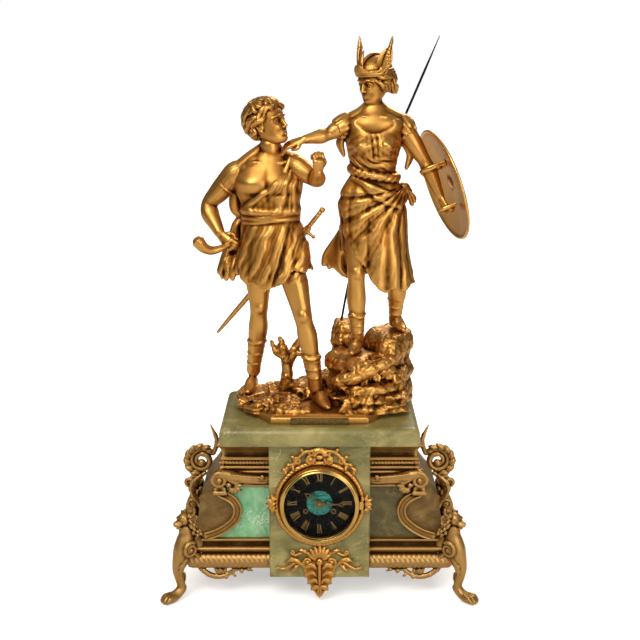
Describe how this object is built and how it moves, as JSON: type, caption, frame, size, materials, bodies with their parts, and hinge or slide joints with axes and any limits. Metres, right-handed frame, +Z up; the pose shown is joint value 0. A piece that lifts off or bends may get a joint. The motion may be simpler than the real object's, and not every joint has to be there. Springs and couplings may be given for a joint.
{
  "type": "figural mantel clock",
  "caption": "Gilt figural mantel clock: a youth and a helmeted maiden on rockwork over a green onyx case with a round dial, lion-paw feet, hinged bezel and pendulum movement.",
  "frame": {"origin": "on the floor under the middle of the four feet", "axes": "+Z up, +X to the right of someone who faces the dial, the dial faces -Y"},
  "size_m": [0.4098, 0.1892, 0.7017],
  "materials": {
    "gilt_bronze": "gilded cast metal with brown patina in the hollows",
    "polished_brass": "polished",
    "movement_brass": "fine brushed",
    "movement_steel": "fine turned",
    "onyx_pale": "polished, veined green onyx",
    "onyx_turquoise": "polished, bright green onyx with white veins",
    "onyx_dark": "polished, dark green onyx with brown veins",
    "black_slate": "polished black slate with gilt numerals",
    "malachite": "polished, banded green",
    "clear_glass": "clear, polished",
    "black_steel": "blackened",
    "bell_metal": "nickelled"
  },
  "bodies": {
    "case": {"top_slab": "onyx_pale", "front_block": "onyx_pale", "left_panel": "onyx_turquoise", "right_panel": "onyx_dark", "left_side_panel": "onyx_dark", "right_side_panel": "onyx_dark", "back_panel": "onyx_dark", "dial_plate": "black_slate", "dial_centre": "malachite", "front_plate": "movement_brass", "back_plate": "movement_brass", "suspension_cock": "movement_brass", "bell": "bell_metal", "movement_straps": "movement_brass", "rear_ring": "polished_brass", "case_fasteners": "movement_steel", "spear": "black_steel", "base_moulding": "gilt_bronze", "left_wing_frame": "gilt_bronze", "right_wing_frame": "gilt_bronze", "left_side_scroll": "gilt_bronze", "right_side_scroll": "gilt_bronze", "front_left_foot": "gilt_bronze", "front_right_foot": "gilt_bronze", "rear_left_foot": "gilt_bronze", "rear_right_foot": "gilt_bronze", "leaf_pendant": "gilt_bronze", "dial_surround": "gilt_bronze", "terrace": "gilt_bronze", "nameplate": "gilt_bronze", "youth_body": "gilt_bronze", "youth_head": "gilt_bronze", "youth_right_arm": "gilt_bronze", "youth_left_arm": "gilt_bronze", "sword": "gilt_bronze", "maiden_body": "gilt_bronze", "maiden_head": "gilt_bronze", "maiden_right_arm": "gilt_bronze", "maiden_left_arm": "gilt_bronze", "shield": "gilt_bronze"},
    "bezel": {"bezel_ring": "polished_brass", "bezel_glass": "clear_glass"},
    "back_door": {"rear_door": "polished_brass"},
    "minute_work": {"minute_hand": "polished_brass", "cannon_pinion": "movement_steel", "centre_wheel": "movement_brass"},
    "hour_work": {"hour_hand": "polished_brass", "hour_wheel": "movement_brass"},
    "minute_wheel": {"minute_wheel": "movement_brass"},
    "intermediate": {"intermediate_wheel": "movement_brass"},
    "going_barrel": {"going_barrel": "movement_brass"},
    "strike_barrel": {"strike_barrel": "movement_brass"},
    "going_arbor": {"going_winding_arbor": "movement_steel"},
    "strike_arbor": {"strike_winding_arbor": "movement_steel"},
    "third": {"third_wheel": "movement_brass"},
    "escape": {"escape_wheel": "movement_brass"},
    "anchor": {"anchor": "movement_steel"},
    "pendulum": {"pendulum_rod": "movement_steel", "pendulum_bob": "polished_brass"},
    "hammer": {"hammer": "movement_steel"}
  },
  "joints": [
    {"name": "bezel_hinge", "type": "hinge", "parent": "case", "child": "bezel", "pos_m": [0.0532, -0.086, 0.133], "axis": [0, 0, 1], "range_deg": [0, 110]},
    {"name": "back_door_hinge", "type": "hinge", "parent": "case", "child": "back_door", "pos_m": [-0.0532, 0.074, 0.133], "axis": [0, 0, 1], "range_deg": [0, 110]},
    {"name": "minute_turn", "type": "hinge", "parent": "case", "child": "minute_work", "pos_m": [0, -0.045, 0.133], "axis": [0, 1, 0], "continuous": true},
    {"name": "hour_turn", "type": "hinge", "parent": "case", "child": "hour_work", "pos_m": [0, -0.045, 0.133], "axis": [0, 1, 0], "continuous": true},
    {"name": "minute_wheel_turn", "type": "hinge", "parent": "case", "child": "minute_wheel", "pos_m": [0, -0.045, 0.121], "axis": [0, 1, 0], "continuous": true},
    {"name": "intermediate_turn", "type": "hinge", "parent": "case", "child": "intermediate", "pos_m": [0.01485, -0.045, 0.13991], "axis": [0, 1, 0], "continuous": true},
    {"name": "going_barrel_turn", "type": "hinge", "parent": "case", "child": "going_barrel", "pos_m": [0.0175, -0.045, 0.1217], "axis": [0, 1, 0], "continuous": true},
    {"name": "strike_barrel_turn", "type": "hinge", "parent": "case", "child": "strike_barrel", "pos_m": [-0.0175, -0.045, 0.1217], "axis": [0, 1, 0], "continuous": true},
    {"name": "going_winding", "type": "hinge", "parent": "case", "child": "going_arbor", "pos_m": [0.0175, -0.045, 0.1217], "axis": [0, 1, 0], "continuous": true},
    {"name": "strike_winding", "type": "hinge", "parent": "case", "child": "strike_arbor", "pos_m": [-0.0175, -0.045, 0.1217], "axis": [0, 1, 0], "continuous": true},
    {"name": "escape_turn", "type": "hinge", "parent": "case", "child": "escape", "pos_m": [0, -0.045, 0.1495], "axis": [0, 1, 0], "continuous": true},
    {"name": "third_turn", "type": "hinge", "parent": "case", "child": "third", "pos_m": [-0.00959, -0.045, 0.14455], "axis": [0, 1, 0], "continuous": true},
    {"name": "pendulum_swing", "type": "hinge", "parent": "case", "child": "pendulum", "pos_m": [0, -0.0185, 0.163], "axis": [0, 1, 0], "range_deg": [-4, 4]},
    {"name": "anchor_rock", "type": "hinge", "parent": "case", "child": "anchor", "pos_m": [0, -0.045, 0.163], "axis": [0, 1, 0], "range_deg": [-4, 4]},
    {"name": "hammer_lift", "type": "hinge", "parent": "case", "child": "hammer", "pos_m": [-0.035, -0.018, 0.13], "axis": [0, 1, 0], "range_deg": [-15, 8], "stiffness_Nm_per_rad": 0.01}
  ],
  "couplings": [
    {"joint": "hour_turn", "follows": "minute_turn", "ratio": 0.083333},
    {"joint": "minute_wheel_turn", "follows": "minute_turn", "ratio": -0.33333},
    {"joint": "intermediate_turn", "follows": "minute_turn", "ratio": -0.18182},
    {"joint": "going_barrel_turn", "follows": "minute_turn", "ratio": 0.027273},
    {"joint": "third_turn", "follows": "escape_turn", "ratio": -0.077922},
    {"joint": "anchor_rock", "follows": "pendulum_swing", "ratio": 1}
  ]
}
